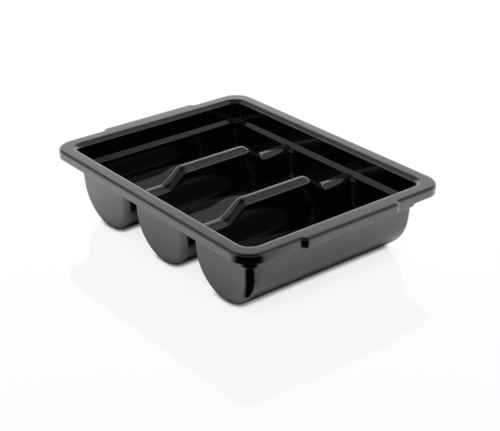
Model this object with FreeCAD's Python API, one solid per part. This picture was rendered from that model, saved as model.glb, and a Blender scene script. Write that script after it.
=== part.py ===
import FreeCAD
import Part
import math
import os

# Open cutlery tray with three round-bottomed troughs, moulded in one piece from black plastic.
# The moulding is divided into its features, each a solid of its own that meets the next face to face.
# Millimetres. +Z is up, X runs across the troughs, Y along them, and the front is at -Y.
# The origin is under the middle of the tray, on the surface that it stands on.

V = FreeCAD.Vector

# Driving dimensions: overall
length_over_grips = 398.0
depth = 300.0
height = 94.0
wall = 3.0
draft = math.radians(3.6)

# Driving dimensions: rim
grip_proud = 5.0
grip_half_span = 70.0
grip_step_radius = 6.0
grip_length = 152.0
rim_corner = 27.0
flange_width = 21.0
opening_corner = 14.0
outer_edge_radius = 3.5
inner_edge_radius = 6.0
skirt_depth = 11.5

# Driving dimensions: upper wall and ledge
ledge_depth = 25.3
ledge_width = 5.7
ledge_fall = 3.4
ledge_edge_radius = 1.2
ledge_root_radius = 1.0
collar_foot_radius = 4.0

# Driving dimensions: troughs
trough_radius = 50.3
trough_end_radius = 9.0
foot_width = 14.0

# Driving dimensions: dividers
ridge_depth = 10.0
saddle_depth = 28.0
ridge_corner_y = 50.0
saddle_corner_y = 73.0
divider_bend_radius = 14.0
divider_edge_radius = 9.0
saddle_reach = 2.0

# Plain wall left between a rounded edge and the joint next to it
ledge_joint_margin = 1.5
trough_joint_margin = 1.0

# Heights worked out from them
flange_under = height - wall
rim_joint = height - inner_edge_radius
skirt_bottom = height - skirt_depth
ledge_top = height - ledge_depth
ledge_mouth = ledge_top - ledge_fall
ledge_under = ledge_top - ledge_fall / 2 - wall
ledge_joint = ledge_top + ledge_root_radius + ledge_joint_margin
ridge_top = height - ridge_depth
saddle_top = height - saddle_depth
trough_joint = saddle_top - divider_edge_radius - trough_joint_margin
trough_centre_z = math.sqrt(trough_radius ** 2 - (foot_width / 2) ** 2)

# Plan sizes worked out from them
rim_half_x = length_over_grips / 2 - grip_proud
rim_half_y = depth / 2
opening_half_x = rim_half_x - flange_width
opening_half_y = rim_half_y - flange_width
pocket_half_x = opening_half_x - (rim_joint - ledge_top) * math.tan(draft) - ledge_width
pocket_half_y = opening_half_y - (rim_joint - ledge_top) * math.tan(draft) - ledge_width
pocket_corner = trough_end_radius - wall
inner_trough_radius = trough_radius - wall

# Room beyond the tray for the solids that cut it
far = 400.0
low = -20.0
high = height + 20.0
past = 1.0
touch = 1e-3


def inner_trough_half(z):
    """Half the width inside a trough at height z, on its straight drafted side."""
    tangent_x = inner_trough_radius * math.cos(draft)
    tangent_z = trough_centre_z - inner_trough_radius * math.sin(draft)
    return tangent_x + (z - tangent_z) * math.tan(draft)


trough_pitch = pocket_half_x - inner_trough_half(ledge_top)


def arc(centre, radius, start_deg, end_deg, z):
    """Arc in a level plane about centre, from one angle to another."""
    points = []
    for angle in (start_deg, (start_deg + end_deg) / 2, end_deg):
        a = math.radians(angle)
        points.append(V(centre[0] + radius * math.cos(a), centre[1] + radius * math.sin(a), z))
    return Part.Arc(*points).toShape()


def joined(edges):
    """Closed wire through edges given in order, with a straight edge across each gap between them."""
    whole = []
    for k, edge in enumerate(edges):
        following = edges[(k + 1) % len(edges)]
        whole.append(edge)
        start = edge.lastVertex(True).Point
        end = following.firstVertex(True).Point
        if start.distanceToPoint(end) > 1e-6:
            whole.append(Part.LineSegment(start, end).toShape())
    return Part.Wire(whole)


def rounded_rectangle(half_x, half_y, radius, z):
    """Level rounded rectangle about the Z axis."""
    corners = []
    for sign_x, sign_y, start in ((1, 1, 0), (-1, 1, 90), (-1, -1, 180), (1, -1, 270)):
        centre = (sign_x * (half_x - radius), sign_y * (half_y - radius))
        corners.append(arc(centre, radius, start, start + 90, z))
    return joined(corners)


def rim_outline(inset, z):
    """Outline of the rim with its two proud grips, moved inwards by inset."""
    turn = math.degrees(math.acos(1 - grip_proud / (2 * grip_step_radius)))
    half_run = grip_step_radius * math.sin(math.radians(turn))
    hollow = grip_step_radius + inset
    crown = grip_step_radius - inset
    corner = rim_corner - inset
    hollow_x = rim_half_x + grip_step_radius
    crown_x = rim_half_x + grip_proud - grip_step_radius
    near_y = grip_half_span + half_run
    far_y = grip_half_span - half_run
    corner_x = rim_half_x - rim_corner
    corner_y = rim_half_y - rim_corner
    edges = [
        arc((hollow_x, -near_y), hollow, 180, 180 - turn, z),
        arc((crown_x, -far_y), crown, -turn, 0, z),
        arc((crown_x, far_y), crown, 0, turn, z),
        arc((hollow_x, near_y), hollow, 180 + turn, 180, z),
        arc((corner_x, corner_y), corner, 0, 90, z),
        arc((-corner_x, corner_y), corner, 90, 180, z),
        arc((-hollow_x, near_y), hollow, 0, -turn, z),
        arc((-crown_x, far_y), crown, 180 - turn, 180, z),
        arc((-crown_x, -far_y), crown, 180, 180 + turn, z),
        arc((-hollow_x, -near_y), hollow, turn, 0, z),
        arc((-corner_x, -corner_y), corner, 180, 270, z),
        arc((corner_x, -corner_y), corner, 270, 360, z),
    ]
    return joined(edges)


def rim_block(inset, z0, z1):
    """Upright solid on the rim's outline between two heights."""
    return Part.Face(rim_outline(inset, z0)).extrude(V(0, 0, z1 - z0))


def level_box(z0, z1):
    """Box wider than the tray between two heights."""
    return Part.makeBox(2 * far, 2 * far, z1 - z0, V(-far, -far, z0))


def level_edges(shape, z):
    """Edges of a shape that lie wholly at height z."""
    boxes = [(edge, edge.BoundBox) for edge in shape.Edges]
    return [edge for edge, box in boxes if abs(box.ZMin - z) < touch and abs(box.ZMax - z) < touch]


def within(edge, half_x, half_y):
    """Whether an edge stays inside an upright rectangle about the Z axis."""
    box = edge.BoundBox
    inside_x = max(abs(box.XMin), abs(box.XMax)) < half_x
    inside_y = max(abs(box.YMin), abs(box.YMax)) < half_y
    return inside_x and inside_y


def flange_edges(shape, z, inside):
    """Edges at height z on the inner or the outer side of the flange's middle line."""
    middle_x = rim_half_x - flange_width / 2
    middle_y = rim_half_y - flange_width / 2
    return [edge for edge in level_edges(shape, z) if within(edge, middle_x, middle_y) == inside]


def opening_outline(grow, z):
    """Outline of the upper wall's inner face at height z, grown by a wall thickness where asked."""
    spread = grow + (z - rim_joint) * math.tan(draft)
    return rounded_rectangle(opening_half_x + spread, opening_half_y + spread, opening_corner + spread, z)


def pocket_outline(grow, z):
    """Outline of the space inside the ledge at height z."""
    spread = grow + (z - ledge_top) * math.tan(draft)
    return rounded_rectangle(pocket_half_x + spread, pocket_half_y + spread, pocket_corner + spread, z)


def opening_block(grow, z0, z1):
    """Solid of the space inside the upper wall."""
    return Part.makeLoft([opening_outline(grow, z0), opening_outline(grow, z1)], True, True)


def pocket_block(grow, z0, z1):
    """Solid of the space inside the ledge."""
    return Part.makeLoft([pocket_outline(grow, z0), pocket_outline(grow, z1)], True, True)


def rim_flange():
    """Flat top of the rim, rounded down at both edges."""
    ring = rim_block(0, ledge_top, height).cut(opening_block(0, ledge_under, high))
    ring = ring.makeFillet(outer_edge_radius, flange_edges(ring, height, False))
    ring = ring.makeFillet(inner_edge_radius, flange_edges(ring, height, True))
    channel = rim_block(wall, ledge_under, flange_under).cut(opening_block(wall, low, high))
    channel = channel.makeFillet(outer_edge_radius - wall, flange_edges(channel, flange_under, False))
    channel = channel.makeFillet(inner_edge_radius - wall, flange_edges(channel, flange_under, True))
    return ring.cut(channel).common(level_box(rim_joint, high))


def skirt_pieces():
    """Skirt that hangs from the rim, divided into the two grips and the front and back runs."""
    skirt = rim_block(0, skirt_bottom, rim_joint)
    skirt = skirt.cut(rim_block(wall, skirt_bottom - past, rim_joint + past))
    grip_end = grip_length / 2
    front = Part.makeBox(2 * far, far - grip_end, high, V(-far, -far, 0))
    back = Part.makeBox(2 * far, far - grip_end, high, V(-far, grip_end, 0))
    left = Part.makeBox(far, grip_length, high, V(-far, -grip_end, 0))
    right = Part.makeBox(far, grip_length, high, V(0, -grip_end, 0))
    return {
        "front_skirt": skirt.common(front),
        "back_skirt": skirt.common(back),
        "left_grip": skirt.common(left),
        "right_grip": skirt.common(right),
    }


def upper_wall():
    """Upright wall between the rim and the ledge."""
    ring = opening_block(wall, ledge_joint, rim_joint)
    return ring.cut(opening_block(0, ledge_joint - past, rim_joint + past))


def trough_section(radius, z1):
    """Closed U outline in the XZ plane: a round bottom and two drafted sides up to z1."""
    c = math.cos(draft)
    s = math.sin(draft)
    reach = (z1 - trough_centre_z + radius * s) / c
    right_low = V(radius * c, 0, trough_centre_z - radius * s)
    left_low = V(-radius * c, 0, trough_centre_z - radius * s)
    right_top = right_low + V(reach * s, 0, reach * c)
    left_top = left_low + V(-reach * s, 0, reach * c)
    bottom = V(0, 0, trough_centre_z - radius)
    edges = [
        Part.LineSegment(left_top, left_low).toShape(),
        Part.Arc(left_low, bottom, right_low).toShape(),
        Part.LineSegment(right_low, right_top).toShape(),
        Part.LineSegment(right_top, left_top).toShape(),
    ]
    return Part.Wire(edges)


def end_cutter(half_y, sign):
    """Block beyond one drafted end plane, whose place is given at the ledge's height."""
    lean = math.tan(draft)
    points = []
    for z, beyond in ((low, 0), (high, 0), (high, far), (low, far)):
        y = far if beyond else half_y + (z - ledge_top) * lean
        points.append(V(-far, sign * y, z))
    face = Part.Face(Part.makePolygon(points + [points[0]]))
    return face.extrude(V(2 * far, 0, 0))


def trough_block(centre_x, thickness, end_radius):
    """Solid inside a trough's surface: the cavity at thickness 0, or the outside at one wall."""
    section = trough_section(inner_trough_radius + thickness, high)
    block = Part.Face(section).extrude(V(0, 2 * far, 0))
    block.translate(V(0, -far, 0))
    for sign in (-1, 1):
        block = block.cut(end_cutter(pocket_half_y + thickness, sign))
    ends = []
    for edge in block.Edges:
        box = edge.BoundBox
        at_top = box.ZMin > high - past
        lengthwise = box.YMax - box.YMin > depth / 2
        if not at_top and not lengthwise:
            ends.append(edge)
    block = block.makeFillet(end_radius, ends)
    block.translate(V(centre_x, 0, 0))
    return block


def divider_profile(drop):
    """Closed outline in the YZ plane under a divider's top, moved in square to it by drop."""
    slope = math.atan2(ridge_top - saddle_top, saddle_corner_y - ridge_corner_y)
    reach = divider_bend_radius * math.tan(slope / 2)
    crown = divider_bend_radius - drop
    hollow = divider_bend_radius + drop
    crown_y = ridge_corner_y - reach
    crown_z = ridge_top - divider_bend_radius
    hollow_y = saddle_corner_y + reach
    hollow_z = saddle_top + divider_bend_radius

    def at(sign, y, z, radius, angle):
        return V(0, sign * (y + radius * math.sin(angle)), z + radius * math.cos(angle))

    edges = []
    for sign in (-1, 1):
        bend_top = [at(sign, crown_y, crown_z, crown, a) for a in (0, slope / 2, slope)]
        bend_low = [at(sign, hollow_y, hollow_z, -hollow, a) for a in (slope, slope / 2, 0)]
        if sign < 0:
            edges += [Part.Arc(*bend_low[::-1]).toShape(), Part.Arc(*bend_top[::-1]).toShape()]
        else:
            edges += [Part.Arc(*bend_top).toShape(), Part.Arc(*bend_low).toShape()]
    saddle_z = saddle_top - drop
    end = Part.LineSegment(V(0, far / 2, saddle_z), V(0, far / 2, low)).toShape()
    start = Part.LineSegment(V(0, -far / 2, low), V(0, -far / 2, saddle_z)).toShape()
    return joined(edges + [end, start])


def under_divider(drop):
    """Solid below a divider's top, wider than the divider."""
    block = Part.Face(divider_profile(drop)).extrude(V(trough_pitch, 0, 0))
    block.translate(V(-trough_pitch / 2, 0, 0))
    return block


def side_edges(shape, centre_x, saddle_z):
    """Edges along both sides of a divider's top, without those at its ends and at its blank's sides."""
    sides = []
    for edge in shape.Edges:
        box = edge.BoundBox
        below_top = box.ZMin < saddle_z - past
        across = box.YMax - box.YMin < touch
        at_blank = abs(box.Center.x - centre_x) > trough_pitch / 2 - touch
        if not below_top and not across and not at_blank:
            sides.append(edge)
    return sides


def divider(centre_x, cavities, shells, ring):
    """Hollow ridge between two troughs, open below and round on top, that runs out onto the ledge."""
    slab = under_divider(0)
    slab.translate(V(centre_x, 0, 0))
    ridge = slab.common(pocket_block(0, trough_joint, high))
    for cavity in cavities:
        ridge = ridge.cut(cavity)
    ridge = ridge.makeFillet(divider_edge_radius, side_edges(ridge, centre_x, saddle_top))
    for face in ridge.Faces:
        box = face.BoundBox
        if box.YMax - box.YMin < past and abs(box.Center.y) > pocket_half_y - past:
            ahead = math.copysign(saddle_reach, box.Center.y)
            ridge = ridge.fuse(face.extrude(V(0, ahead, 0)))
    hollow = under_divider(wall)
    hollow.translate(V(centre_x, 0, 0))
    for shell in shells:
        hollow = hollow.cut(shell)
    edges = side_edges(hollow, centre_x, saddle_top - wall)
    hollow = hollow.makeFillet(divider_edge_radius - wall, edges)
    return ridge.cut(ring).cut(hollow), hollow


def ledge():
    """Sloping ledge round the mouth of the troughs, with the foot of the upper wall and the ends' tops."""
    outside = opening_block(wall, ledge_under, ledge_joint)
    outside = outside.makeFillet(collar_foot_radius, level_edges(outside, ledge_under))
    outside = outside.fuse(pocket_block(wall, trough_joint, ledge_under + past))
    outlines = [pocket_outline(0, ledge_mouth), opening_outline(0, ledge_top), opening_outline(0, high)]
    tray_space = Part.makeLoft(outlines, True, True)
    tray_space = tray_space.makeFillet(ledge_root_radius, level_edges(tray_space, ledge_top))
    ring = outside.cut(tray_space).cut(pocket_block(0, trough_joint - past, high))
    level = level_edges(ring, ledge_mouth)
    mouth = [edge for edge in level if within(edge, pocket_half_x + past, pocket_half_y + past)]
    return ring.makeFillet(ledge_edge_radius, mouth)


def build():
    """Make every feature and write it to its own file."""
    names = ("left", "middle", "right")
    centres = (-trough_pitch, 0.0, trough_pitch)
    cavities = [trough_block(x, 0, trough_end_radius - wall) for x in centres]
    shells = [trough_block(x, wall, trough_end_radius) for x in centres]
    nodes = {"rim_flange": rim_flange(), "upper_wall": upper_wall()}
    nodes.update(skirt_pieces())
    below_joint = level_box(0, trough_joint)
    for name, cavity, shell in zip(names, cavities, shells):
        nodes[name + "_trough"] = shell.common(below_joint).cut(cavity)
    ring = ledge()
    nodes["ledge"] = ring
    for name, k in (("left", 0), ("right", 1)):
        middle_x = (centres[k] + centres[k + 1]) / 2
        ridge, hollow = divider(middle_x, cavities[k:k + 2], shells[k:k + 2], ring)
        nodes[name + "_divider"] = ridge
        nodes["ledge"] = nodes["ledge"].cut(hollow)
    os.makedirs("parts", exist_ok=True)
    for name, shape in nodes.items():
        print(name, "solids", len(shape.Solids), "valid", shape.isValid(), "mm3", round(shape.Volume))
        shape.exportStep("parts/" + name + ".step")


build()
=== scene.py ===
"""Visual model of an open cutlery tray with three round-bottomed troughs, in gloss black plastic.

The tray is one moulding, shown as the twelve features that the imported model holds. Each feature is a
closed surface worked out with numpy, in metres, in the frame's own place. Neighbours share the path
that their points follow, so they meet point to point.
"""

import logging
import math
from collections.abc import Callable
from dataclasses import dataclass
from enum import Enum

import bpy
import numpy as np
from mathutils import Matrix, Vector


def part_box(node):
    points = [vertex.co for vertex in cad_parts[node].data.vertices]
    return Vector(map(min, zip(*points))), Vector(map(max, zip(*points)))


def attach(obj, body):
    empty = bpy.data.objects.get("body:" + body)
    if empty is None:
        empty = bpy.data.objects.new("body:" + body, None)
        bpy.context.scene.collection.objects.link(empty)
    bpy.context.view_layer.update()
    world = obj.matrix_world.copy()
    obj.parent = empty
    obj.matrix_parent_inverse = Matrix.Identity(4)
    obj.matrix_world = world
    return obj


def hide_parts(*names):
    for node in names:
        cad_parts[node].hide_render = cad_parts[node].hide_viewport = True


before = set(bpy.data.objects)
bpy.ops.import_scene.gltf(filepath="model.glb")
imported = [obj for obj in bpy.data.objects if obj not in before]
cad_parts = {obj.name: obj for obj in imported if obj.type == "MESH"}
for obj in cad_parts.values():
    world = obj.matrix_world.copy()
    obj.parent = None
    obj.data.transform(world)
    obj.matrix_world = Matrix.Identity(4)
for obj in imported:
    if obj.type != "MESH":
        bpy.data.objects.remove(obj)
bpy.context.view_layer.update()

LOG = logging.getLogger("cutlery_tray")
MM = 0.001
BODY = "root"
WHITE = (1.0, 1.0, 1.0, 1.0)

Heights = np.ndarray | float
Pair = tuple[float, float]
Triple = tuple[float, float, float]
Outline = Callable[[float], np.ndarray]
Socket = bpy.types.NodeSocket
Source = Socket | float | tuple
Inputs = dict[str | int, Source]


class Side(Enum):
    """Where a feature stands across the tray; the value counts trough pitches from the middle."""

    LEFT = -1.0
    MIDDLE = 0.0
    RIGHT = 1.0


class Face(Enum):
    """Which side of a wall a surface is on; the value is how many walls it lies outside the inner one."""

    INNER = 0.0
    OUTER = 1.0


class Ease(Enum):
    """How a step in a material or a light runs between its two levels."""

    STRAIGHT = "LINEAR"
    SMOOTH = "SMOOTHSTEP"


@dataclass(frozen=True)
class TrayForm:
    """Driving sizes of the tray in metres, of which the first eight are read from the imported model.

    The last value is the number of chords in each edge of the ledge, which the dividers' ends follow.
    """

    half_length: float
    half_depth: float
    top: float
    rim_joint: float
    skirt_bottom: float
    ledge_joint: float
    trough_joint: float
    pitch: float
    wall: float = 3.0 * MM
    draft: float = math.radians(3.6)
    grip_proud: float = 5.0 * MM
    grip_half_span: float = 70.0 * MM
    grip_step_radius: float = 6.0 * MM
    grip_half_length: float = 76.0 * MM
    rim_corner: float = 27.0 * MM
    flange_width: float = 21.0 * MM
    opening_corner: float = 14.0 * MM
    outer_edge_radius: float = 3.5 * MM
    inner_edge_radius: float = 6.0 * MM
    skirt_edge_radius: float = 0.9 * MM
    ledge_depth: float = 25.3 * MM
    ledge_width: float = 5.7 * MM
    ledge_fall: float = 3.4 * MM
    ledge_edge_radius: float = 1.2 * MM
    ledge_root_radius: float = 1.0 * MM
    collar_foot_radius: float = 4.0 * MM
    trough_radius: float = 50.3 * MM
    trough_end_radius: float = 9.0 * MM
    foot_width: float = 14.0 * MM
    ridge_depth: float = 10.0 * MM
    saddle_depth: float = 28.0 * MM
    ridge_corner_y: float = 50.0 * MM
    saddle_corner_y: float = 73.0 * MM
    divider_bend_radius: float = 14.0 * MM
    divider_edge_radius: float = 9.0 * MM
    ledge_steps: int = 8

    @classmethod
    def from_frame(cls) -> "TrayForm":
        """Read the overall size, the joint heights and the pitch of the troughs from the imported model.

        Returns:
            The form, with every other size at its own value.
        """
        rim_low, rim_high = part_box("rim_flange")
        skirt_low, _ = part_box("front_skirt")
        ledge_low, ledge_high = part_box("ledge")
        trough_low, trough_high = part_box("right_trough")
        return cls(
            half_length=rim_high.x,
            half_depth=rim_high.y,
            top=rim_high.z,
            rim_joint=rim_low.z,
            skirt_bottom=skirt_low.z,
            ledge_joint=ledge_high.z,
            trough_joint=ledge_low.z,
            pitch=(trough_low.x + trough_high.x) / 2,
        )

    @property
    def draft_degrees(self) -> float:
        """Draft angle in degrees."""
        return math.degrees(self.draft)

    @property
    def lean(self) -> float:
        """Sideways run of a drafted wall for each unit of height."""
        return math.tan(self.draft)

    @property
    def rim_half(self) -> np.ndarray:
        """Half the rim's length beside the grips, and half its width."""
        return np.array([self.half_length - self.grip_proud, self.half_depth])

    @property
    def opening_half(self) -> np.ndarray:
        """Half the opening's length and width at the rim joint."""
        return self.rim_half - self.flange_width

    @property
    def ledge_top(self) -> float:
        """Height at which the sloping ledge leaves the upper wall."""
        return self.top - self.ledge_depth

    @property
    def ledge_under(self) -> float:
        """Height of the ledge's flat underside."""
        return self.ledge_top - self.ledge_fall / 2 - self.wall

    @property
    def ledge_slope(self) -> float:
        """Angle at which the ledge falls towards the troughs."""
        return math.atan2(self.ledge_fall, self.ledge_width + self.ledge_fall * self.lean)

    @property
    def pocket_half(self) -> np.ndarray:
        """Half the length and width inside the ledge, at its top."""
        return self.opening_half - (self.rim_joint - self.ledge_top) * self.lean - self.ledge_width

    @property
    def trough_centre_z(self) -> float:
        """Height of the centre of the round bottoms, which are cut flat to the foot's width."""
        return math.sqrt(self.trough_radius**2 - (self.foot_width / 2) ** 2)

    def on_face(self, outer: float, face: Face) -> float:
        """Radius on the face given, of a bend whose outer radius is given."""
        return outer - self.wall + face.value * self.wall

    def end_y(self, z: Heights, face: Face) -> Heights:
        """Distance of the drafted end wall's face from the middle of the tray, at one height or many."""
        return self.pocket_half[1] + face.value * self.wall + (z - self.ledge_top) * self.lean

    def ledge_mouth(self) -> np.ndarray:
        """Section of the ledge's rounded edge above the troughs, from the end wall up to the slope.

        Returns:
            One row for each point: distance outside the end wall's place at the ledge's top, and height.
        """
        corner = (-self.ledge_fall * self.lean, self.ledge_top - self.ledge_fall)
        end = 90 + math.degrees(self.ledge_slope)
        return rounded(corner, self.ledge_edge_radius, 180 - self.draft_degrees, end, self.ledge_steps)

    def ledge_root(self) -> np.ndarray:
        """Section of the hollow fillet between the ledge's slope and the upper wall.

        Returns:
            One row for each point: distance outside the opening's outline at the rim joint, and height.
        """
        corner = ((self.ledge_top - self.rim_joint) * self.lean, self.ledge_top)
        start = math.degrees(self.ledge_slope) - 90
        return rounded(corner, self.ledge_root_radius, start, -self.draft_degrees, self.ledge_steps)

    def ledge_roll(self, z: np.ndarray) -> np.ndarray:
        """How far the ledge's edge and slope lie behind the end wall's plane.

        Args:
            z: Heights.

        Returns:
            One distance for each height.
        """
        section = np.vstack([self.ledge_mouth(), [self.ledge_width, self.ledge_top]])
        behind = section[:, 0] - (section[:, 1] - self.ledge_top) * self.lean
        return np.interp(z, section[:, 1], behind)

    def trough_half(self, z: Heights, face: Face) -> Heights:
        """Half the width of a trough on its straight side.

        The side leaves the circle at the draft angle below its centre and leans out from there.

        Args:
            z: One height or many.
            face: Side of the wall.

        Returns:
            Distance from the trough's own middle along X.
        """
        radius = self.on_face(self.trough_radius, face)
        tangent_z = self.trough_centre_z - radius * math.sin(self.draft)
        return radius * math.cos(self.draft) + (z - tangent_z) * self.lean


def rolled(centre: float, height: float, radius: float, start: float, end: float, steps: int) -> np.ndarray:
    """Arc of a rounded edge, seen in section: centre plus radius times (cos a, sin a).

    Args:
        centre: Sideways place of the arc's centre.
        height: Height of the arc's centre.
        radius: Radius of the edge.
        start: First angle in degrees.
        end: Last angle in degrees.
        steps: Number of chords.

    Returns:
        One row for each point: sideways place and height.
    """
    angle = np.radians(np.linspace(start, end, steps + 1))
    return np.stack([centre + radius * np.cos(angle), height + radius * np.sin(angle)], axis=-1)


def rounded(corner: Pair, radius: float, start: float, end: float, steps: int) -> np.ndarray:
    """Arc that rounds a corner in section, touching both faces that would meet there.

    Seen from the arc's centre, the corner lies halfway between the first angle and the last, at the
    radius over the cosine of half the turn.

    Args:
        corner: Sideways place and height of the corner.
        radius: Radius of the arc.
        start: First angle in degrees.
        end: Last angle in degrees.
        steps: Number of chords.

    Returns:
        One row for each point: sideways place and height.
    """
    halfway = math.radians((start + end) / 2)
    reach = radius / math.cos(math.radians(end - start) / 2)
    centre = corner[0] - reach * math.cos(halfway)
    return rolled(centre, corner[1] - reach * math.sin(halfway), radius, start, end, steps)


def straight(x: float, y: np.ndarray) -> np.ndarray:
    """Points in plan on a line along Y."""
    return np.column_stack([np.full_like(y, x), y])


def lifted(plan: np.ndarray, height: float, worn: float = 0.0) -> np.ndarray:
    """Points in plan at a height, with how much handling they get, from 0 to 1, as a fourth value."""
    return np.column_stack([plan, np.full(len(plan), height), np.full(len(plan), worn)])


def swept(outline: Outline, section: np.ndarray | list[Pair], worn: float = 0.0) -> np.ndarray:
    """Carry a section round an outline, with one ring for each of its points.

    Args:
        outline: Gives the ring in plan that lies a distance from the outline.
        section: One row for each point: that distance, and height.
        worn: Handling in the middle of the section, which falls to none at its ends as a sine does.

    Returns:
        Rings by points by x, y, z and handling.
    """
    handling = worn * np.sin(np.linspace(0, math.pi, len(section)))
    return np.array([lifted(outline(o), z, w) for (o, z), w in zip(section, handling)])


def grid_quads(rows: int, columns: int, ring_rows: bool = False, ring_columns: bool = False) -> np.ndarray:
    """Quads of a grid of points numbered row by row.

    A quad turns from the direction of the rows to that of the columns, which is the way it faces.

    Args:
        rows: Number of rows.
        columns: Number of columns.
        ring_rows: Whether the last row joins the first.
        ring_columns: Whether the last column joins the first.

    Returns:
        Four point numbers for each quad.
    """
    first = np.arange(rows if ring_rows else rows - 1)
    across = np.arange(columns if ring_columns else columns - 1)
    row, column = np.meshgrid(first, across, indexing="ij")
    next_row = (row + 1) % rows * columns
    next_column = (column + 1) % columns
    row = row * columns
    corners = [row + column, next_row + column, next_row + next_column, row + next_column]
    return np.stack(corners, axis=-1).reshape(-1, 4)


def placed(name: str, data: bpy.types.ID) -> bpy.types.Object:
    """Put data into the scene as an object.

    Args:
        name: Name of the object.
        data: Mesh, lamp or camera that it holds.

    Returns:
        The object.
    """
    thing = bpy.data.objects.new(name, data)
    bpy.context.scene.collection.objects.link(thing)
    return thing


def pose(right: np.ndarray, up: np.ndarray, back: np.ndarray, place: Triple) -> Matrix:
    """Work out the matrix of an object from the directions of its own axes.

    Args:
        right: Direction of its X axis.
        up: Direction of its Y axis.
        back: Direction of its Z axis, away from what a lamp or camera faces.
        place: Where it stands.

    Returns:
        The matrix.
    """
    matrix = np.eye(4)
    matrix[:3, :3] = np.stack([right, up, back], axis=-1)
    matrix[:3, 3] = place
    return Matrix(matrix.tolist())


@dataclass(frozen=True)
class RingPath:
    """Path round the tray in plan, with the same number of points on every ring."""

    form: TrayForm
    corner_steps: int = 22
    bend_steps: int = 10
    grip_steps: int = 18
    side_steps: int = 6
    run_steps: int = 30
    tuck_steps: int = 6
    tuck_margin: float = 0.05 * MM

    def right_side(self, inset: float) -> np.ndarray:
        """Right edge of the rim from front to back, moved inwards by inset.

        Each end of the grip is an S of two equal arcs. Moved inwards, the hollow one's radius grows by
        the inset and the crowned one's shrinks by it.

        Args:
            inset: Distance from the rim's outline.

        Returns:
            Points in plan.
        """
        form = self.form
        radius = form.grip_step_radius
        turn = math.acos(1 - form.grip_proud / (2 * radius))
        turn_deg = math.degrees(turn)
        near = form.grip_half_span + radius * math.sin(turn)
        far = form.grip_half_span - radius * math.sin(turn)
        corner_y = form.half_depth - form.rim_corner
        start_y = np.linspace(-corner_y, -form.grip_half_length, self.side_steps + 1)
        middle_y = np.linspace(-far, far, self.grip_steps + 1)[1:-1]
        hollow_x = form.rim_half[0] + radius
        crown_x = form.half_length - radius
        hollow = rolled(hollow_x, -near, radius + inset, 180, 180 - turn_deg, self.bend_steps)
        crown = rolled(crown_x, -far, radius - inset, -turn_deg, 0, self.bend_steps)
        half = np.concatenate([straight(form.rim_half[0] - inset, start_y), hollow, crown[1:]])
        middle = straight(form.half_length - inset, middle_y)
        return np.concatenate([half, middle, half[::-1] * (1, -1)])

    @property
    def tuck_outer(self) -> float:
        """Distance from a divider's middle to where a trough's outer corner starts."""
        form = self.form
        return form.pitch / 2 - form.trough_half(form.trough_joint, Face.OUTER) + form.trough_end_radius

    @property
    def tuck_inner(self) -> float:
        """Distance from a divider's middle to where that corner passes through the inner face."""
        radius = self.form.trough_end_radius
        return self.tuck_outer - math.sqrt(radius**2 - (radius - self.form.wall) ** 2)

    def tuck(self, x: np.ndarray) -> np.ndarray:
        """How far the troughs' rounded outer corners draw the outer face in, up to one wall.

        Args:
            x: Places along X.

        Returns:
            One distance for each place.
        """
        form = self.form
        past = np.clip(self.tuck_outer - np.abs(np.abs(x) - form.pitch / 2), 0, form.trough_end_radius)
        drawn = form.trough_end_radius - np.sqrt(form.trough_end_radius**2 - past**2)
        return np.minimum(drawn, form.wall)

    def run_fractions(self) -> np.ndarray:
        """Places along the front or back run, set closer beside the dividers.

        Returns:
            Shares of the half run, from 1 to -1.
        """
        half_run = self.form.pocket_half[0] - self.form.trough_end_radius + self.form.wall
        beside = np.linspace(self.tuck_inner, self.tuck_outer, self.tuck_steps)
        beside = np.append(beside, self.tuck_inner - self.tuck_margin)
        middle = self.form.pitch / 2
        stops = np.concatenate([middle - beside, middle + beside]) / half_run
        even = np.linspace(-1, 1, self.run_steps + 1)
        return np.sort(np.concatenate([even, stops, -stops]))[::-1]

    def closed(self, side: np.ndarray, centre: np.ndarray, radius: float) -> np.ndarray:
        """Whole ring: right side, corner, back run and corner, and then the same turned half round.

        Args:
            side: Points of the right side from front to back.
            centre: Centre of the corner, in plan.
            radius: Radius of the corner.

        Returns:
            Points in plan, anticlockwise from above.
        """
        corner = rolled(0, 0, radius, 0, 90, self.corner_steps)[1:-1]
        run_x = self.run_fractions() * centre[0]
        run = np.column_stack([run_x, np.full_like(run_x, centre[1] + radius)])
        half = np.concatenate([side, corner + centre, run, (corner[::-1] + centre) * (-1, 1)])
        return np.concatenate([half, -half])

    def rim(self, inset: float) -> np.ndarray:
        """Ring on the rim's outline with its two grips.

        Args:
            inset: Distance that it is moved inwards.

        Returns:
            Points in plan, anticlockwise from above.
        """
        corner = self.form.rim_corner
        return self.closed(self.right_side(inset), self.form.rim_half - corner, corner - inset)

    def rectangle(self, half: np.ndarray, radius: float) -> np.ndarray:
        """Ring on a rounded rectangle, whose side points are spaced as the rim's are.

        Args:
            half: Half its length and half its width.
            radius: Radius of its corners.

        Returns:
            Points in plan, anticlockwise from above.
        """
        place = self.right_side(0.0)[:, 1]
        side = straight(half[0], place / place.max() * (half[1] - radius))
        return self.closed(side, half - radius, radius)

    def opening(self, outwards: float) -> np.ndarray:
        """Ring on the opening's outline at the rim joint, moved outwards."""
        return self.rectangle(self.form.opening_half + outwards, self.form.opening_corner + outwards)

    def pocket(self, outwards: float, radius: float) -> np.ndarray:
        """Ring on the outline inside the ledge, moved outwards and with corners of the radius given."""
        return self.rectangle(self.form.pocket_half + outwards, radius)

    def grip_span(self) -> tuple[int, int]:
        """First and last point of the right grip, between the joints of the skirt."""
        return self.side_steps, len(self.right_side(0.0)) - 1 - self.side_steps


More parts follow.
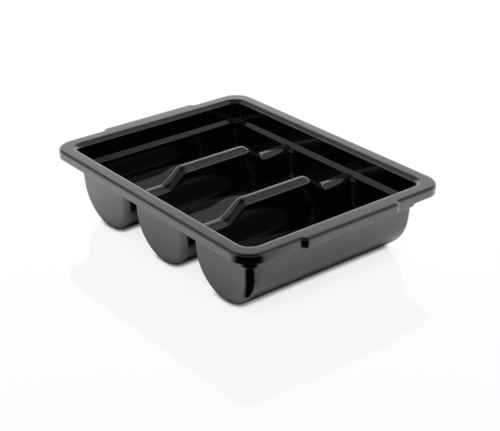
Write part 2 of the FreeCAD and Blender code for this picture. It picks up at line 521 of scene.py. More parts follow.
@dataclass(frozen=True)
class Wiring:
    """Short calls that add and join the nodes of one tree."""

    tree: bpy.types.NodeTree

    @classmethod
    def fresh(cls, owner: bpy.types.Material | bpy.types.World) -> "Wiring":
        """Give a material or world an empty tree.

        Args:
            owner: The material or world.

        Returns:
            The calls for its tree.
        """
        owner.use_nodes = True
        owner.node_tree.nodes.clear()
        return cls(owner.node_tree)

    def add(self, kind: str, inputs: Inputs | None = None, **settings: object) -> bpy.types.Node:
        """Add a node.

        Args:
            kind: Its type.
            inputs: What feeds each input: a socket, or the value that the input is set to.
            settings: Its settings, which are made first because they can change the inputs.

        Returns:
            The node.
        """
        node = self.tree.nodes.new("ShaderNode" + kind)
        for name, value in settings.items():
            setattr(node, name, value)
        for name, source in (inputs or {}).items():
            if isinstance(source, Socket):
                self.tree.links.new(source, node.inputs[name])
            else:
                node.inputs[name].default_value = source
        return node

    def math(self, kind: str, first: Source, second: Source) -> Socket:
        """Sum, product or other value worked out from two values."""
        return self.add("Math", {0: first, 1: second}, operation=kind).outputs["Value"]

    def ramp(self, value: Socket, start: Pair, end: Pair, ease: Ease = Ease.SMOOTH) -> Socket:
        """Step between two levels.

        Args:
            value: Value that the step follows.
            start: Where the step starts, and its level up to there.
            end: Where the step ends, and its level from there on.
            ease: How it runs between them.

        Returns:
            The level.
        """
        inputs = {"From Min": start[0], "To Min": start[1], "From Max": end[0], "To Max": end[1]}
        node = self.add("MapRange", inputs | {"Value": value}, interpolation_type=ease.value)
        return node.outputs["Result"]

    def heading(self, value: Socket, origin: Triple, towards: Triple) -> Socket:
        """Cosine between a point's bearing from an origin, seen from above, and a level direction.

        Args:
            value: The point.
            origin: Where its bearing is taken from.
            towards: The level direction, of length 1.

        Returns:
            The cosine.
        """
        offset = self.add("VectorMath", {0: value, 1: origin}, operation="SUBTRACT").outputs["Vector"]
        level = self.add("VectorMath", {0: offset, 1: (1.0, 1.0, 0.0)}, operation="MULTIPLY")
        unit = self.add("VectorMath", {0: level.outputs["Vector"]}, operation="NORMALIZE")
        inputs = {0: unit.outputs["Vector"], 1: towards}
        return self.add("VectorMath", inputs, operation="DOT_PRODUCT").outputs["Value"]

    def mix(self, share: Source, first: Socket, second: Socket) -> Socket:
        """Mix two values, with the share given of the second one."""
        return self.add("Mix", {0: share, 2: first, 3: second}).outputs[0]

    def blend(self, share: Source, first: Socket, second: Socket) -> Socket:
        """Mix two shaders, with the share given of the second one."""
        return self.add("MixShader", {0: share, 1: first, 2: second}).outputs["Shader"]

    def open_sky(self, reach: float, samples: int = 8) -> Socket:
        """Share of the sky that what stands within reach of a point leaves open."""
        return self.add("AmbientOcclusion", {"Distance": reach}, samples=samples).outputs["AO"]


@dataclass(frozen=True)
class Grain:
    """Noise of one fineness, and the relief that it makes.

    Fineness counts features per metre, and a stretch below 1 draws them out along that axis.
    """

    fineness: float
    detail: float
    strength: float = 0.0
    depth: float = 0.0
    stretch: Triple = (1.0, 1.0, 1.0)

    def noise(self, wiring: Wiring, place: Socket) -> Socket:
        """Add the noise.

        Args:
            wiring: Calls for the material's tree.
            place: Place on the object.

        Returns:
            The noise, from 0 to 1.
        """
        mapping = wiring.add("Mapping", {"Vector": place, "Scale": self.stretch}).outputs["Vector"]
        inputs = {"Vector": mapping, "Scale": self.fineness, "Detail": self.detail}
        return wiring.add("TexNoise", inputs).outputs["Fac"]


WAVES = Grain(fineness=9.0, detail=1.0, strength=0.10, depth=0.4 * MM)
MATTING = Grain(fineness=1500.0, detail=2.0, strength=0.03, depth=0.03 * MM)
HAIRLINES = Grain(fineness=900.0, detail=2.0, strength=0.04, depth=0.02 * MM, stretch=(1.0, 0.03, 1.0))


@dataclass(frozen=True)
class GlossPlastic:
    """Gloss black plastic as it comes from a polished mould, with light signs of handling."""

    name: str
    relief: tuple[Grain, ...] = (WAVES, MATTING)
    clouds: Grain = Grain(fineness=38.0, detail=3.0)
    specks: Grain = Grain(fineness=620.0, detail=2.0)
    ior: float = 1.59
    specular: float = 0.72
    polish: float = 0.09
    polish_spread: float = 0.04
    worn_roughness: float = 0.10
    colour: Triple = (0.0030, 0.0030, 0.0032)
    worn_colour: Triple = (0.010, 0.010, 0.0105)

    def material(self) -> bpy.types.Material:
        """Build the node material.

        Colour runs from the plastic's own to a greyer one where the piece is handled. Roughness is the
        polish, a cloudy spread, and more where it is handled. The bumps of the relief's grains add up.

        Returns:
            The material.
        """
        material = bpy.data.materials.new(self.name)
        wiring = Wiring.fresh(material)
        place = wiring.add("TexCoord").outputs["Object"]
        handled = wiring.add("Attribute", attribute_name="handled").outputs["Fac"]
        wear = wiring.math("MULTIPLY", handled, self.specks.noise(wiring, place))
        colours = {"Factor": wear, "A": (*self.colour, 1.0), "B": (*self.worn_colour, 1.0)}
        tint = wiring.add("Mix", colours, data_type="RGBA").outputs["Result"]
        low, high = self.polish - self.polish_spread / 2, self.polish + self.polish_spread / 2
        cloudy = wiring.ramp(self.clouds.noise(wiring, place), (0.0, low), (1.0, high), Ease.STRAIGHT)
        worn = wiring.ramp(wear, (0.0, 0.0), (1.0, self.worn_roughness), Ease.STRAIGHT)
        bump = {}
        for grain in self.relief:
            height = grain.noise(wiring, place)
            inputs = {"Strength": grain.strength, "Distance": grain.depth, "Height": height}
            bump = {"Normal": wiring.add("Bump", inputs | bump).outputs["Normal"]}
        look = {"Base Color": tint, "Roughness": wiring.math("ADD", cloudy, worn)}
        look |= {"IOR": self.ior, "Specular IOR Level": self.specular}
        plastic = wiring.add("BsdfPrincipled", look | bump)
        wiring.add("OutputMaterial", {"Surface": plastic.outputs["BSDF"]})
        return material


@dataclass(frozen=True)
class Moulding:
    """Puts a worked-out surface into the scene as one piece of the tray."""

    finish: bpy.types.Material
    crease: float = math.radians(32)

    def piece(self, node: str, points: np.ndarray, faces: list[list[int]]) -> bpy.types.Object:
        """Make the piece that stands for a node.

        Args:
            node: Name of the CAD node that it replaces.
            points: Grid or list of points, each x, y, z and handling.
            faces: Point numbers of each face.

        Returns:
            The new object, riding on the tray's body.
        """
        points = points.reshape(-1, 4)
        mesh = bpy.data.meshes.new("moulded_" + node)
        mesh.from_pydata(points[:, :3].tolist(), [], faces)
        mesh.validate()
        mesh.polygons.foreach_set("use_smooth", np.ones(len(mesh.polygons), dtype=bool))
        mesh.set_sharp_from_angle(angle=self.crease)
        handled = mesh.attributes.new("handled", "FLOAT", "POINT")
        handled.data.foreach_set("value", points[:, 3].astype(np.float32))
        mesh.materials.append(self.finish)
        mesh.update()
        piece = placed("moulded_" + node, mesh)
        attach(piece, BODY)
        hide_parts(node)
        LOG.info("%s: %d points, %d faces", piece.name, len(mesh.vertices), len(mesh.polygons))
        return piece


@dataclass(frozen=True)
class Rim:
    """Flat flange rounded down at both edges, with the skirt that hangs from it."""

    form: TrayForm
    path: RingPath
    moulding: Moulding
    edge_steps: int = 10
    flat_steps: int = 4
    skirt_edge_steps: int = 4
    flange_handling: float = 0.7
    skirt_handling: float = 1.0

    def flange_points(self) -> np.ndarray:
        """Rings of the flange, following its section round from the inner wall over the top and back.

        In section, each edge is an arc that touches the top and the wall. The inner arc's centre lies
        one radius over cos(draft) outside the wall, at the rim joint.

        Returns:
            Rings by points by four values.
        """
        form = self.form
        joint, wall, steps = form.rim_joint, form.wall, self.edge_steps
        inner, outer = form.inner_edge_radius, form.outer_edge_radius
        upright = 180 - form.draft_degrees
        inner_o = inner / math.cos(form.draft)
        under_o = wall + (inner - wall) / math.cos(form.draft)
        outer_z = form.top - outer
        inner_arc = rolled(inner_o, joint, inner, upright, 90, steps)
        outer_arc = rolled(outer, outer_z, outer, 90, 180, steps)
        outer_back = rolled(outer, outer_z, outer - wall, 180, 90, steps)
        inner_back = rolled(under_o, joint, inner - wall, 90, upright, steps)
        rings = [
            swept(self.path.opening, [(0.0, joint)]),
            swept(self.path.opening, inner_arc, self.flange_handling),
            self.flat(inner_o, form.top),
            swept(self.path.rim, outer_arc, self.flange_handling),
            swept(self.path.rim, [(0.0, joint), (wall, joint), *outer_back]),
            self.flat(under_o, form.top - wall)[::-1],
            swept(self.path.opening, [*inner_back, (wall, joint)]),
        ]
        return np.concatenate(rings)

    def flat(self, outwards: float, height: float) -> np.ndarray:
        """Rings across the flat between the two edges, each a straight blend of the rings beside it.

        Args:
            outwards: Distance of the inner edge's ring from the opening.
            height: Height of the flat.

        Returns:
            The rings from the inside outwards, without the two at its edges.
        """
        inner = self.path.opening(outwards)
        outer = self.path.rim(self.form.outer_edge_radius)
        shares = np.linspace(0, 1, self.flat_steps + 1)[1:-1]
        return np.array([lifted(inner * (1 - share) + outer * share, height) for share in shares])

    def skirt_section(self) -> np.ndarray:
        """Section of the skirt with both lower edges rounded, and handled below the joint.

        Returns:
            One row for each point: inset, height and handling.
        """
        form = self.form
        edge = form.skirt_edge_radius
        inner = rolled(form.wall - edge, form.skirt_bottom + edge, edge, -90, 0, self.skirt_edge_steps)
        outer = rolled(edge, form.skirt_bottom + edge, edge, 180, 270, self.skirt_edge_steps)
        points = np.concatenate([inner, [[form.wall, form.rim_joint], [0.0, form.rim_joint]], outer])
        worn = np.where(points[:, 1] < form.rim_joint, self.skirt_handling, 0.0)
        return np.column_stack([points, worn])

    def skirt_points(self, first: int, last: int) -> np.ndarray:
        """Stretch of the skirt between two points of the rim's path.

        Args:
            first: Number of the first point.
            last: Number of the last point, past the end of the ring where the stretch goes round it.

        Returns:
            Section points by points along the path by four values.
        """
        rings = np.array([lifted(self.path.rim(i), z, w) for i, z, w in self.skirt_section()])
        return rings[:, np.arange(first, last + 1) % rings.shape[1]]

    def build(self) -> None:
        """Make the flange, the two grips and the front and back skirts."""
        flange = self.flange_points()
        self.moulding.piece("rim_flange", flange, grid_quads(*flange.shape[:2], True, True).tolist())
        first, last = self.path.grip_span()
        count = flange.shape[1]
        half = count // 2
        stretches = {
            "right_grip": (first, last),
            "back_skirt": (last, half + first),
            "left_grip": (half + first, half + last),
            "front_skirt": (half + last, count + first),
        }
        for node, (start, end) in stretches.items():
            points = self.skirt_points(start, end)
            rows, columns = points.shape[:2]
            section = np.arange(rows) * columns
            ends = [section[::-1].tolist(), (section + columns - 1).tolist()]
            self.moulding.piece(node, points, grid_quads(rows, columns, ring_rows=True).tolist() + ends)


@dataclass(frozen=True)
class Collar:
    """Upright wall below the rim, and the ledge round the mouths of the troughs."""

    form: TrayForm
    path: RingPath
    moulding: Moulding
    wall_steps: int = 4
    fork_steps: int = 3
    ledge_handling: float = 0.6
    fork_radius: float = 1.5 * MM
    roof_step: float = 0.4 * MM

    def drafted(self, outwards: float, heights: np.ndarray) -> np.ndarray:
        """Section of a drafted wall: its place at the rim joint, moved by the lean for each height."""
        return np.column_stack([outwards + (heights - self.form.rim_joint) * self.form.lean, heights])

    def wall_points(self) -> np.ndarray:
        """Rings of the upright wall: up inside and down outside.

        Returns:
            Rings by points by four values.
        """
        form = self.form
        heights = np.linspace(form.ledge_joint, form.rim_joint, self.wall_steps + 1)
        section = np.concatenate([self.drafted(0.0, heights), self.drafted(form.wall, heights[::-1])])
        return swept(self.path.opening, section)

    def joint_heights(self) -> np.ndarray:
        """Height of the ledge's lower edge at each point of the path.

        It is the trough joint, and a wall below the saddles where the hollow under a divider runs out
        through it.

        Returns:
            One height for each point.
        """
        form = self.form
        plan = self.inside(0.0)
        at_ends = np.abs(plan[:, 1]) > form.pocket_half[1] - form.wall
        open_below = at_ends & (self.path.tuck(plan[:, 0]) >= form.wall)
        return np.where(open_below, form.top - form.saddle_depth - form.wall, form.trough_joint)

    def inside(self, outwards: float) -> np.ndarray:
        """Ring round the mouths of the troughs, whose corners grow as it moves outwards."""
        corner = self.form.trough_end_radius - self.form.wall
        return self.path.pocket(outwards, corner + max(outwards, 0.0))

    def outside(self, z: float) -> np.ndarray:
        """Ring on the outside of the troughs' tops, drawn in at the ends by their rounded corners.

        Args:
            z: Height of the ring.

        Returns:
            Points by four values.
        """
        form = self.form
        plan = self.path.pocket(form.wall + (z - form.ledge_top) * form.lean, form.trough_end_radius)
        at_ends = np.abs(plan[:, 1]) > form.pocket_half[1]
        plan[:, 1] -= np.sign(plan[:, 1]) * np.where(at_ends, self.path.tuck(plan[:, 0]), 0.0)
        return lifted(plan, z)

    def ledge_points(self) -> np.ndarray:
        """Rings of the ledge, following its section up inside, over the slope and down outside.

        Every edge is an arc that touches the two faces beside it. An arc against a drafted wall starts
        or ends at the draft angle.

        Returns:
            Rings by points by four values.
        """
        form = self.form
        under = form.ledge_under
        draft = form.draft_degrees
        foot_corner = (form.wall + (under - form.rim_joint) * form.lean, under)
        foot = rounded(foot_corner, form.collar_foot_radius, -draft, -90, form.ledge_steps)
        fork_corner = (form.wall + (under - form.ledge_top) * form.lean, under)
        fork = rounded(fork_corner, self.fork_radius, 90, 180 - draft, self.fork_steps)
        joint = np.array([form.ledge_joint])
        behind = [form.ledge_root(), self.drafted(0.0, joint), self.drafted(form.wall, joint), foot]
        low_o = (form.trough_joint - form.ledge_top) * form.lean
        roof = under - self.fork_radius - self.roof_step
        rings = [
            swept(self.inside, [(low_o, form.trough_joint)]),
            swept(self.inside, form.ledge_mouth(), self.ledge_handling),
            swept(self.path.opening, np.concatenate(behind)),
            swept(self.inside, fork),
            [self.outside(roof), self.outside(form.trough_joint)],
        ]
        points = np.concatenate(rings)
        points[:, :, 2] = np.maximum(points[:, :, 2], self.joint_heights())
        return points

    def build(self) -> None:
        """Make the upright wall and the ledge."""
        for node, points in (("upper_wall", self.wall_points()), ("ledge", self.ledge_points())):
            self.moulding.piece(node, points, grid_quads(*points.shape[:2], True, True).tolist())


@dataclass(frozen=True)
class Trough:
    """Round-bottomed trough with rolled ends, standing on a narrow flat foot."""

    form: TrayForm
    side: Side
    moulding: Moulding
    bend_steps: int = 56
    roll_steps: int = 12
    length_steps: int = 20
    scuff_height: float = 0.5 * MM

    def surface(self, face: Face) -> np.ndarray:
        """Grid over one face of the wall, from the front end to the back end and from left to right.

        Across, a point leaves the circle's centre at angle a: (-R cos a, -R sin a). Along, it runs
        straight, and at each end it rolls round a ball of the end radius r, which touches the bottom and
        the end wall: centre + r times the turn from the bottom's outward direction to the end wall's.
        The left and right columns slide up the line where side and end meet, to the joint's height.

        Args:
            face: Side of the wall.

        Returns:
            Rows along by columns across by three.
        """
        form = self.form
        radius = form.on_face(form.trough_radius, face)
        ball = form.on_face(form.trough_end_radius, face)
        sin_d, cos_d = math.sin(form.draft), math.cos(form.draft)
        angle = np.linspace(form.draft, math.pi - form.draft, self.bend_steps + 1)
        half_foot = math.asin(form.foot_width / 2 / radius)
        angle = np.sort(np.append(angle, [math.pi / 2 - half_foot, math.pi / 2 + half_foot]))
        inward = np.stack([np.cos(angle), np.zeros_like(angle), np.sin(angle)], axis=-1)
        centre = np.array([0.0, 0.0, form.trough_centre_z]) - inward * (radius - ball)
        centre[:, 1] = form.end_y(centre[:, 2], face) - ball / cos_d
        end = np.array([0.0, cos_d, -sin_d])
        between = np.arccos(-inward @ end)[None, :, None]
        turn = np.linspace(0, 1, self.roll_steps + 1)[:, None, None] * between
        roll = centre + ball * (np.sin(between - turn) * -inward + np.sin(turn) * end) / np.sin(between)
        roll = np.concatenate([self.slid(roll[:, :1], 1), roll, self.slid(roll[:, -1:], -1)], axis=1)
        shares = np.linspace(-1, 1, self.length_steps + 1)[1:-1, None]
        level = np.repeat(roll[:1], self.length_steps - 1, axis=0)
        level[:, :, 1] *= shares
        grid = np.concatenate([roll[::-1] * (1, -1, 1), level, roll])
        grid[:, :, 2] = np.maximum(grid[:, :, 2], 0.0)
        return grid

    def slid(self, column: np.ndarray, towards: int) -> np.ndarray:
        """Column moved up to the joint along the line where the drafted side and end walls meet.

        The line is the cross product of the two walls' normals.

        Args:
            column: Points where the straight side starts, rows by one by three.
            towards: 1 for the left side, whose inward normal points right, and -1 for the right side.

        Returns:
            The moved points, in the same shape.
        """
        sin_d, cos_d = math.sin(self.form.draft), math.cos(self.form.draft)
        line = np.cross([towards * cos_d, 0.0, sin_d], [0.0, cos_d, -sin_d])
        rise = self.form.trough_joint - column[:, :, 2:]
        return column + line / line[2] * rise

    def build(self) -> None:
        """Make the trough, closed round its upper edge and over both faces of its end walls."""
        outer = self.surface(Face.OUTER)
        inner = self.surface(Face.INNER)
        rows, columns = outer.shape[:2]
        count = rows * columns
        points = np.concatenate([outer.reshape(-1, 3), inner.reshape(-1, 3)])
        points[:, 0] += self.side.value * self.form.pitch
        scuffed = np.exp(-((points[:, 2] / self.scuff_height) ** 2))
        quads = grid_quads(rows, columns)
        strip = grid_quads(2, rows)
        left = np.arange(rows) * columns
        right = left + columns - 1
        left_edge = np.append(left, left + count)[strip]
        right_edge = np.append(right + count, right)[strip]
        front = np.arange(columns)
        back = front + count - columns
        front_edge = np.append(front[[0, -1]], front[[-1, 0]] + count)
        back_edge = np.append(back[[0, -1]] + count, back[[-1, 0]])
        ends = [front, back[::-1], front[::-1] + count, back + count, front_edge, back_edge]
        faces = np.concatenate([quads, quads[:, ::-1] + count, left_edge, right_edge]).tolist()
        faces += [end.tolist() for end in ends]
        self.moulding.piece(self.side.name.lower() + "_trough", np.column_stack([points, scuffed]), faces)


@dataclass(frozen=True)
class Divider:
    """Hollow ridge between two troughs, high in the middle and low at both ends."""

    form: TrayForm
    side: Side
    moulding: Moulding
    ridge_steps: int = 10
    bend_steps: int = 10
    slope_steps: int = 4
    saddle_steps: int = 8
    flare_steps: int = 14
    edge_steps: int = 16
    handling: float = 0.8

    def profile(self) -> np.ndarray:
        """Stations along the divider's top from its middle to where its end starts to flare.

        The top is level, bends down round a circle, runs straight down, bends level round another
        circle and stays level. A station is (y, z) on the top and the direction (sin a, cos a) square
        to it, where a is the top's slope.

        Returns:
            One row for each station: y, z, sin a and cos a.
        """
        form = self.form
        ridge = form.top - form.ridge_depth
        saddle = form.top - form.saddle_depth
        slope = math.atan2(ridge - saddle, form.saddle_corner_y - form.ridge_corner_y)
        bend = form.divider_bend_radius
        reach = bend * math.tan(slope / 2)
        crown_y = form.ridge_corner_y - reach
        hollow_y = form.saddle_corner_y + reach
        level = np.linspace(0, crown_y, self.ridge_steps + 1)[:-1]
        down = np.linspace(0, slope, self.bend_steps + 1)
        arc = bend * np.column_stack([np.sin(down), np.cos(down)])
        crown = np.array([crown_y, ridge - bend]) + arc
        hollow = (np.array([hollow_y, saddle + bend]) - arc)[::-1]
        share = np.linspace(0, 1, self.slope_steps + 1)[1:-1, None]
        falling = crown[-1] * (1 - share) + hollow[0] * share
        top = np.concatenate([np.column_stack([level, np.full_like(level, ridge)]), crown, falling, hollow])
        tilt = np.concatenate([np.zeros_like(level), down, np.full(len(share), slope), down[::-1]])
        return np.column_stack([top, np.sin(tilt), np.cos(tilt)])

    def half_width(self, z: Heights, face: Face) -> Heights:
        """Half the divider's width at height z, or half its hollow's on the inner face."""
        trough_face = Face.INNER if face is Face.OUTER else Face.OUTER
        return self.form.pitch / 2 - self.form.trough_half(z, trough_face)

    def columns(self, stations: np.ndarray) -> np.ndarray:
        """Right half of the section, from the outer foot over the top's middle to the hollow's foot.

        Each edge is a ball that touches the top and the drafted side: its centre lies one radius r
        below the top, square to it, and r over cos(draft) inside the side wall. The hollow's edge is
        round the same centre, one wall further in.

        Args:
            stations: Stations as profile() gives them.

        Returns:
            Stations by columns by three.
        """
        form = self.form
        radius = form.divider_edge_radius
        turn = np.linspace(math.pi / 2 - form.draft, 0, self.edge_steps + 1)
        y, z, across, upward = (stations[:, k, None] for k in range(4))
        centre_x = self.half_width(z - radius * upward, Face.OUTER) - radius / math.cos(form.draft)
        parts = []
        for face in (Face.OUTER, Face.INNER):
            ball = form.on_face(radius, face)
            below = radius - ball * np.cos(turn)
            place = (centre_x + ball * np.sin(turn), y - below * across, z - below * upward)
            edge = np.stack(np.broadcast_arrays(*place), axis=-1)
            foot = edge[:, :1].copy()
            foot[:, :, 2] = form.trough_joint
            foot[:, :, 0] = self.half_width(form.trough_joint, face)
            parts.append(np.concatenate([foot, edge], axis=1))
        outer, hollow = parts
        middle = outer[:, -1:] * (0, 1, 1)
        return np.concatenate([outer, middle, hollow[:, ::-1]], axis=1)

    def saddle_columns(self) -> np.ndarray:
        """Right half of the section from the end of the last bend to the end wall.

        Towards the wall, the cavities' corners of radius c flare the divider. A column that lies d
        inside the side wall follows a circle of radius c + d about the corner's centre, up to where it
        meets the end wall. The last station runs on to the ledge's rounded edge and slope.

        Returns:
            Stations by columns by three.
        """
        form = self.form
        corner = form.trough_end_radius - form.wall
        start = self.columns(self.profile()[-1:])[0]
        base = start.copy()
        base[self.middle] = start[self.middle - 1]
        half = self.half_width(base[:, 2], Face.OUTER)
        reach = corner + half - base[:, 0]
        flare_y = form.end_y(base[:, 2], Face.INNER) - corner
        share = np.linspace(0, 1, self.saddle_steps + 1)[1:, None]
        level = np.repeat(start[None], self.saddle_steps, axis=0)
        level[:, :, 1] = start[:, 1] * (1 - share) + flare_y * share
        turn = np.sin(np.linspace(0, math.pi / 2, self.flare_steps + 1)[1:, None]) * np.arcsin(corner / reach)
        flare = np.repeat(start[None], self.flare_steps, axis=0)
        flare[:, :, 0] = half + corner - reach * np.cos(turn)
        flare[:, :, 1] = flare_y + reach * np.sin(turn)
        flare[:, self.middle, 0] = 0.0
        flare[-1, :, 1] += form.ledge_roll(start[:, 2])
        return np.concatenate([level, flare])

    @property
    def middle(self) -> int:
        """Number of the column in the middle of the top."""
        return self.edge_steps + 2

    def build(self) -> None:
        """Make the divider as a closed section carried along it, with a flat face at each end."""
        half = np.concatenate([self.columns(self.profile()), self.saddle_columns()])
        top = self.middle + 1
        mirror = (-1, 1, 1)
        outer, hollow = half[:, :top], half[:, top:]
        half = np.concatenate([outer, outer[:, -2::-1] * mirror, hollow[:, ::-1] * mirror, hollow], axis=1)
        grid = np.concatenate([half[:0:-1] * (1, -1, 1), half])
        grid[:, :, 0] += self.side.value * self.form.pitch / 2
        rows, columns = grid.shape[:2]
        worn = np.linspace(0, 1, top) ** 2 * self.handling
        section = np.concatenate([worn, worn[-2::-1], np.zeros(columns - 2 * top + 1)])
        points = np.concatenate([grid, np.broadcast_to(section[None, :, None], (rows, columns, 1))], axis=-1)
        ring = np.arange(columns)
        ends = [ring.tolist(), (ring[::-1] + (rows - 1) * columns).tolist()]
        faces = grid_quads(rows, columns, ring_columns=True).tolist() + ends
        self.moulding.piece(self.side.name.lower() + "_divider", points, faces)


@dataclass(frozen=True)
class PhotoView:
    """Camera where the photograph was taken from. Angles are in degrees and lengths in metres."""

    place: Triple = (1.0562, -0.8345, 0.6929)
    turn: float = -51.262
    tilt: float = 26.491
    roll: float = -0.202
    focal_px: float = 1221.245
    width_px: float = 500.0
    height_px: float = 431.0
    centre_row_px: float = 216.846
    sensor_mm: float = 36.0
    nearest: float = 0.01
    farthest: float = 50.0

    def build(self) -> None:
        """Make the camera from its viewing direction, the level direction to its right, and its roll."""
        turn, tilt, roll = (math.radians(a) for a in (self.turn, self.tilt, self.roll))
        ahead = np.array([math.sin(turn) * math.cos(tilt), math.cos(turn) * math.cos(tilt), -math.sin(tilt)])
        level = np.array([math.cos(turn), -math.sin(turn), 0.0])
        above = np.cross(level, ahead)
        right = level * math.cos(roll) + above * math.sin(roll)
        up = above * math.cos(roll) - level * math.sin(roll)
        data = bpy.data.cameras.new("photo_view")
        data.sensor_width = self.sensor_mm
        data.lens = self.sensor_mm * self.focal_px / self.width_px
        data.shift_y = (self.centre_row_px - self.height_px / 2) / self.width_px
        data.clip_start = self.nearest
        data.clip_end = self.farthest
        camera = placed("photo_view", data)
        camera.matrix_world = pose(right, up, -ahead, self.place)
        bpy.context.scene.camera = camera
        LOG.info("camera: %.1f mm lens", data.lens)


@dataclass(frozen=True)
class Shade:
    """Painted shadow on the floor's glow: dimming of the floor by what stands within reach of it.

    It is at its least up to the first open share of the sky, and at its full level from the second on.
    """

    reach: float
    shut: float
    clear: float
    least: float = 0.0

    def level(self, wiring: Wiring) -> Socket:
        """Level of the floor's glow under the painted shadow, where 1 is undimmed."""
        return wiring.ramp(wiring.open_sky(self.reach), (self.shut, self.least), (self.clear, 1.0))


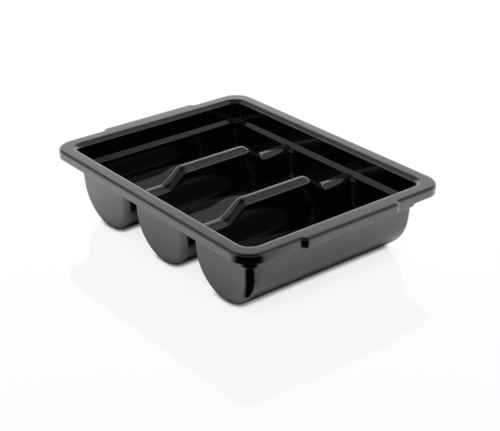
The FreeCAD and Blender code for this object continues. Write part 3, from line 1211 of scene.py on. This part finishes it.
@dataclass(frozen=True)
class Studio:
    """White sweep that is brightest behind the tray, under a dim ceiling, with a polished white floor that
    glows and carries painted shade.

    The side that the camera stands on is dark, and beyond the tray's near corner the floor's glow is painted
    dark as the tray's reflections see it. A pair is an elevation or a bearing, and the level there. An
    elevation is the sine of the angle above the horizon, and a bearing the cosine of the angle to the way
    from the camera to the tray.
    """

    floor_half: float = 12.0
    away: Triple = (-0.783, 0.622, 0.0)
    near_corner: Triple = (0.158, -0.113, 0.0)
    sweep: Pair = (0.259, 2.00)
    dusk: Pair = (0.66, 0.42)
    ceiling_start: Pair = (0.83, 1.0)
    ceiling: Pair = (0.93, 0.15)
    flank_low: Pair = (0.20, 1.25)
    flank_high: Pair = (0.45, 0.66)
    dark_side_low: Pair = (0.17, 0.03)
    dark_side_high: Pair = (0.30, 0.30)
    flank_ends: float = 0.45
    sweep_starts: float = 0.85
    dark_side_ends: float = -0.74
    flank_starts: float = -0.22
    # Painted glow of the floor as the tray's reflections see it, by bearing from the near corner: painted
    # dark towards the camera's side and bright elsewhere.
    floor_painted_dark: Pair = (-0.74, 0.0)
    floor_painted_glow: Pair = (0.02, 1.52)
    # Painted shadow on the floor's glow, from the share of sky left open: close to the tray, wider and
    # fainter, and the painted shade that the tray's reflections see.
    painted_contact_shadow: Shade = Shade(reach=0.009, shut=0.08, clear=0.62)
    painted_wide_shadow: Shade = Shade(reach=0.06, shut=0.15, clear=0.75, least=0.90)
    painted_mirrored_contact_shadow: Shade = Shade(reach=0.025, shut=0.2, clear=0.8)
    painted_mirror_shade_reach: float = 0.18
    floor_mirror: float = 0.07
    mirror_roughness: float = 0.05
    matt_white: tuple[float, ...] = (0.85, 0.85, 0.85, 1.0)
    lamp_place: Triple = (-0.3, 0.4, 1.5)
    lamp_size: float = 1.2
    lamp_power: float = 9.0

    def floor(self) -> None:
        """Make the floor.

        The camera sees it as a white glow with a painted shadow close to the tray, and faintly mirroring.
        The tray's reflections see it as a glow with painted shade over a wider reach, painted dark beyond the
        near corner.
        """
        half = self.floor_half
        corners = [(-half, -half, 0.0), (half, -half, 0.0), (half, half, 0.0), (-half, half, 0.0)]
        mesh = bpy.data.meshes.new("studio_floor")
        mesh.from_pydata(corners, [], [(0, 1, 2, 3)])
        floor = placed("studio_floor", mesh)
        material = bpy.data.materials.new("white_floor_painted_shade")
        mesh.materials.append(material)
        wiring = Wiring.fresh(material)
        rays = wiring.add("LightPath").outputs
        place = wiring.add("TexCoord").outputs["Object"]
        # Painted shadow: the glow that the camera sees is dimmed close to the tray.
        shadow = wiring.math("MULTIPLY", self.painted_contact_shadow.level(wiring), self.painted_wide_shadow.level(wiring))
        # Painted glow and shade as the tray's reflections see the floor: dark beyond the near corner, dimmed
        # over a wider reach and close to the tray.
        painted_glow = wiring.ramp(wiring.heading(place, self.near_corner, self.away), self.floor_painted_dark, self.floor_painted_glow)
        painted_mirror_glow = wiring.math("MULTIPLY", painted_glow, wiring.open_sky(self.painted_mirror_shade_reach))
        painted_mirror_glow = wiring.math("MULTIPLY", painted_mirror_glow, self.painted_mirrored_contact_shadow.level(wiring))
        # Glossy rays get the painted glow and shade; camera and transmission rays get the painted shadow.
        strength = wiring.mix(rays["Is Glossy Ray"], shadow, painted_mirror_glow)
        glow = wiring.add("Emission", {"Strength": strength})
        mirror = wiring.add("BsdfGlossy", {"Color": WHITE, "Roughness": self.mirror_roughness})
        matt = wiring.add("BsdfDiffuse", {"Color": self.matt_white})
        polish = wiring.math("MULTIPLY", rays["Is Camera Ray"], self.floor_mirror)
        shown = wiring.blend(polish, glow.outputs["Emission"], mirror.outputs["BSDF"])
        direct = wiring.math("MAXIMUM", rays["Is Camera Ray"], rays["Is Glossy Ray"])
        direct = wiring.math("MAXIMUM", direct, rays["Is Transmission Ray"])
        wiring.add("OutputMaterial", {"Surface": wiring.blend(direct, matt.outputs["BSDF"], shown)})

    def surroundings(self) -> None:
        """Make the world: white to the camera, and elsewhere the sweep, its flanks and the ceiling."""
        world = bpy.data.worlds.new("studio_light")
        bpy.context.scene.world = world
        wiring = Wiring.fresh(world)
        direction = wiring.add("TexCoord").outputs["Generated"]
        height = wiring.add("SeparateXYZ", {"Vector": direction}).outputs["Z"]
        bearing = wiring.heading(direction, (0.0, 0.0, 0.0), self.away)
        behind = wiring.ramp(height, self.sweep, self.dusk)
        beside = wiring.ramp(height, self.flank_low, self.flank_high)
        dark = wiring.ramp(height, self.dark_side_low, self.dark_side_high)
        overhead = wiring.ramp(height, self.ceiling_start, self.ceiling)
        is_behind = wiring.ramp(bearing, (self.flank_ends, 0.0), (self.sweep_starts, 1.0))
        is_lit = wiring.ramp(bearing, (self.dark_side_ends, 0.0), (self.flank_starts, 1.0))
        level = wiring.mix(is_lit, dark, wiring.mix(is_behind, beside, behind))
        light = wiring.add("Background", {"Strength": wiring.math("MULTIPLY", level, overhead)})
        white = wiring.add("Background", {"Color": WHITE})
        seen = wiring.add("LightPath").outputs["Is Camera Ray"]
        shown = wiring.blend(seen, light.outputs["Background"], white.outputs["Background"])
        wiring.add("OutputWorld", {"Surface": shown})

    def lamp(self) -> None:
        """Make the square soft lamp overhead, which faces the tray and isn't mirrored in it."""
        data = bpy.data.lights.new("overhead_softbox", "AREA")
        data.shape = "SQUARE"
        data.size = self.lamp_size
        data.energy = self.lamp_power
        lamp = placed("overhead_softbox", data)
        upward = np.array(self.lamp_place) / np.linalg.norm(self.lamp_place)
        beside = np.cross((0.0, 1.0, 0.0), upward)
        beside /= np.linalg.norm(beside)
        lamp.matrix_world = pose(beside, np.cross(upward, beside), upward, self.lamp_place)
        lamp.visible_glossy = False

    def build(self) -> None:
        """Make the floor, the surroundings and the lamp, and set how levels are shown."""
        self.floor()
        self.surroundings()
        self.lamp()
        bpy.context.scene.view_settings.view_transform = "Standard"
        LOG.info("studio: floor, surroundings and one lamp")


def main() -> None:
    """Build the camera, the studio and every piece of the tray."""
    logging.basicConfig(level=logging.INFO, format="%(name)s: %(message)s")
    form = TrayForm.from_frame()
    path = RingPath(form)
    PhotoView().build()
    Studio().build()
    rim_finish = Moulding(GlossPlastic("gloss_black_rim").material())
    trough_finish = Moulding(GlossPlastic("gloss_black_trough", (WAVES, MATTING, HAIRLINES)).material())
    Rim(form, path, rim_finish).build()
    Collar(form, path, rim_finish).build()
    for side in Side:
        Trough(form, side, trough_finish).build()
    for side in (Side.LEFT, Side.RIGHT):
        Divider(form, side, rim_finish).build()


if __name__ == "__main__":
    main()
